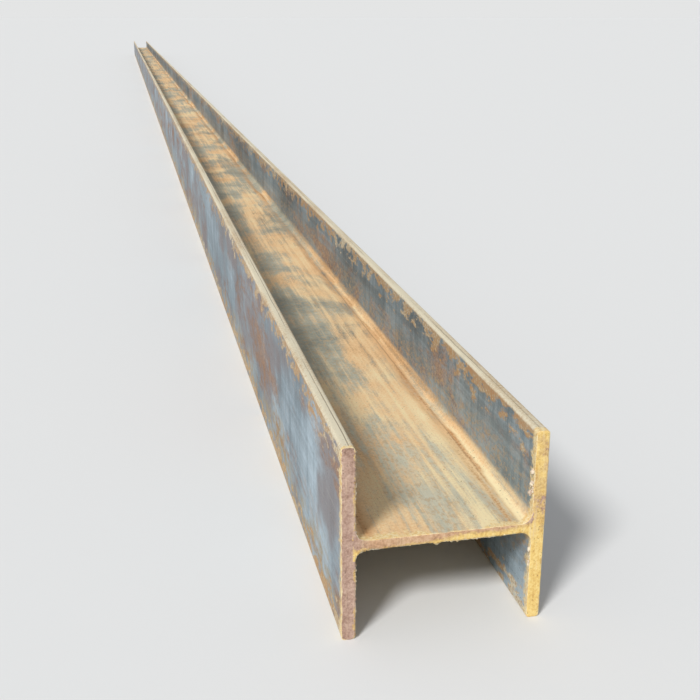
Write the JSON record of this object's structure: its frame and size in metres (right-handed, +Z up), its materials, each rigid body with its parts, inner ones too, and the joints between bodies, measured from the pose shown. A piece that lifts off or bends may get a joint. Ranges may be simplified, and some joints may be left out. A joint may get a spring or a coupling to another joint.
{
  "type": "steel h-beam",
  "caption": "Hot-rolled steel H-beam in a stock length, cut square and rusty, lying with its web level on its flange tips",
  "frame": {"origin": "at floor level, under the middle of the beam: the centre of the bounding box's base", "axes": "+X across the depth of the section, from one flange to the other; +Y along the length, away from the near end; +Z up, across the width of the flanges"},
  "size_m": [0.15, 12, 0.15],
  "materials": {
    "rusty_steel": "as rolled: blue-grey mill scale going to orange-brown rust at the flange tips and along the roots, with brown rusty cut ends"
  },
  "bodies": {
    "root": {"h_beam": "rusty_steel"}
  },
  "joints": []
}
